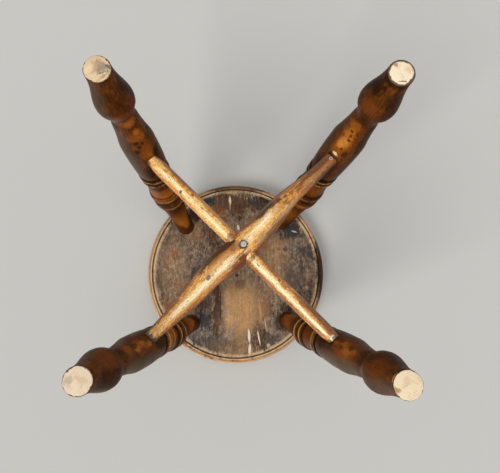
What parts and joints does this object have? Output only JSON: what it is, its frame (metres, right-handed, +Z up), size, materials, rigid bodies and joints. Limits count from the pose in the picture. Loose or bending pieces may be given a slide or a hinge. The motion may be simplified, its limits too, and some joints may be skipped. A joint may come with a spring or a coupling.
{
  "type": "staked stool",
  "caption": "Round-seated country stool on splayed baluster-turned legs, braced by crossed stretchers, the thin one threaded through the swelled one.",
  "frame": {"origin": "centre of the bounding box on the floor, under the middle of the seat", "axes": "+Z up, +Y to the back, +X to the sitter's left-to-right side as seen from the front; the seat's grain runs along Y"},
  "size_m": [0.3365, 0.3323, 0.46],
  "materials": {
    "seat_wood": "aged unvarnished board, dark and dry below, worn smooth at the edge",
    "leg_wood": "old dark varnish over turned wood, worn amber in patches",
    "wedge_wood": "end grain, worn flush",
    "main_stretcher_wood": "hand-shaved, golden, with patches of old dark finish",
    "cross_stretcher_wood": "turned, polished by wear",
    "nail_iron": "old iron, heads rubbed bright"
  },
  "bodies": {
    "root": {"seat": "seat_wood", "leg_front_left": "leg_wood", "wedge_front_left": "wedge_wood", "leg_front_right": "leg_wood", "wedge_front_right": "wedge_wood", "leg_back_left": "leg_wood", "wedge_back_left": "wedge_wood", "leg_back_right": "leg_wood", "wedge_back_right": "wedge_wood", "main_stretcher": "main_stretcher_wood", "cross_stretcher": "cross_stretcher_wood", "crossing_nail": "nail_iron", "nail_front_right": "nail_iron", "nail_back_right": "nail_iron"}
  },
  "joints": []
}
